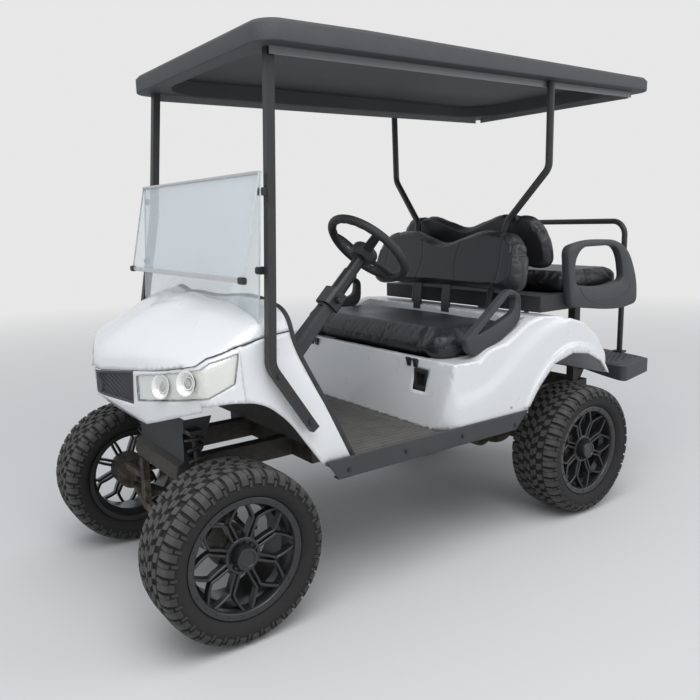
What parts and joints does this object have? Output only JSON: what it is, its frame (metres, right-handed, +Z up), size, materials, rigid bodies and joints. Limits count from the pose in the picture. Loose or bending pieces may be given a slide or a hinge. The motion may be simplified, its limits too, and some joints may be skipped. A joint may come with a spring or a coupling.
{
  "type": "golf cart",
  "caption": "Lifted electric golf cart with a white body, long roof, folded windscreen, knobbly tyres, forward bench and rear-facing bench with a footrest and grab hoop.",
  "frame": {"origin": "on the ground, below the middle of the whole length and width", "axes": "+X forward along the whole length, +Y to the driver's (left) side, +Z up"},
  "size_m": [2.666, 1.27, 1.908],
  "materials": {
    "white_body": "gloss white moulded body",
    "black_steel": "black powder coat",
    "black_plastic": "grained black plastic",
    "roof_plastic": "fine grained dark grey plastic",
    "vinyl": "black vinyl",
    "tyre": "black tread rubber",
    "rim_black": "satin black",
    "clear": "clear acrylic",
    "lens": "clear lamp lens",
    "lamp": "bright reflector",
    "mat": "ribbed rubber mat",
    "steel": "bare steel"
  },
  "bodies": {
    "chassis": {"chassis_frame": "black_steel", "control_arms": "black_steel", "coil_overs": "black_steel", "rack_housing": "black_steel", "rear_axle": "black_steel", "leaf_springs": "black_steel", "front_fascia": "white_body", "cowl_sides": "white_body", "hood": "white_body", "cowl_trim": "black_plastic", "headlight_lenses": "lens", "headlight_housings": "lamp", "grille": "black_plastic", "floor": "mat", "dash": "black_plastic", "steering_column": "black_steel", "pedals": "black_steel", "battery_block": "black_plastic", "rear_body": "white_body", "charge_receptacle": "black_plastic", "rockers": "black_plastic", "front_seat_back": "vinyl", "seat_brackets": "black_steel", "hip_restraints": "black_plastic", "rear_seat_box": "black_plastic", "rear_seat_back": "vinyl", "armrests": "black_plastic", "roof": "roof_plastic", "front_struts": "black_steel", "rear_struts": "black_steel", "windshield_lower": "clear", "windshield_upper": "clear", "footrest": "black_plastic", "grab_hoop": "black_steel", "front_shroud": "black_plastic"},
    "knuckle_left": {"knuckle_left": "black_steel"},
    "knuckle_right": {"knuckle_right": "black_steel"},
    "steering_rack": {"tie_rods": "steel"},
    "wheel_front_left": {"rim_front_left": "rim_black", "tyre_front_left": "tyre"},
    "wheel_front_right": {"rim_front_right": "rim_black", "tyre_front_right": "tyre"},
    "wheel_rear_left": {"rim_rear_left": "rim_black", "tyre_rear_left": "tyre"},
    "wheel_rear_right": {"rim_rear_right": "rim_black", "tyre_rear_right": "tyre"},
    "steering_wheel": {"steering_wheel": "black_plastic"},
    "front_seat_lid": {"front_seat_cushion": "vinyl"},
    "rear_seat_lid": {"rear_seat_cushion": "vinyl"}
  },
  "joints": [
    {"name": "steer_left", "type": "hinge", "parent": "chassis", "child": "knuckle_left", "pos_m": [1.05, 0.4, 0.283], "axis": [0, 0, 1], "range_deg": [-30, 30]},
    {"name": "steer_right", "type": "hinge", "parent": "chassis", "child": "knuckle_right", "pos_m": [1.05, -0.4, 0.283], "axis": [0, 0, 1], "range_deg": [-30.5, 30.5]},
    {"name": "rack_slide", "type": "slide", "parent": "chassis", "child": "steering_rack", "axis": [0, 1, 0], "range_m": [-0.059, 0.059]},
    {"name": "steering_wheel_turn", "type": "hinge", "parent": "chassis", "child": "steering_wheel", "pos_m": [0.318, 0.265, 1.2], "axis": [-0.6947, 0, 0.7193], "range_deg": [-425, 425]},
    {"name": "spin_front_left", "type": "hinge", "parent": "knuckle_left", "child": "wheel_front_left", "pos_m": [1.05, 0.482, 0.283], "axis": [0, 1, 0], "continuous": true},
    {"name": "spin_front_right", "type": "hinge", "parent": "knuckle_right", "child": "wheel_front_right", "pos_m": [1.05, -0.482, 0.283], "axis": [0, 1, 0], "continuous": true},
    {"name": "spin_rear_left", "type": "hinge", "parent": "chassis", "child": "wheel_rear_left", "pos_m": [-0.626, 0.517, 0.283], "axis": [0, 1, 0], "continuous": true},
    {"name": "spin_rear_right", "type": "hinge", "parent": "chassis", "child": "wheel_rear_right", "pos_m": [-0.626, -0.517, 0.283], "axis": [0, 1, 0], "continuous": true},
    {"name": "front_seat_tilt", "type": "hinge", "parent": "chassis", "child": "front_seat_lid", "pos_m": [0.176, 0, 0.764], "axis": [0, 1, 0], "range_deg": [0, 70]},
    {"name": "rear_seat_tilt", "type": "hinge", "parent": "chassis", "child": "rear_seat_lid", "pos_m": [-0.954, 0, 0.963], "axis": [0, -1, 0], "range_deg": [0, 105]}
  ],
  "couplings": [
    {"joint": "steer_right", "follows": "steer_left", "ratio": 1},
    {"joint": "rack_slide", "follows": "steer_left", "m_per_rad": -0.11},
    {"joint": "steering_wheel_turn", "follows": "steer_left", "ratio": 14}
  ]
}
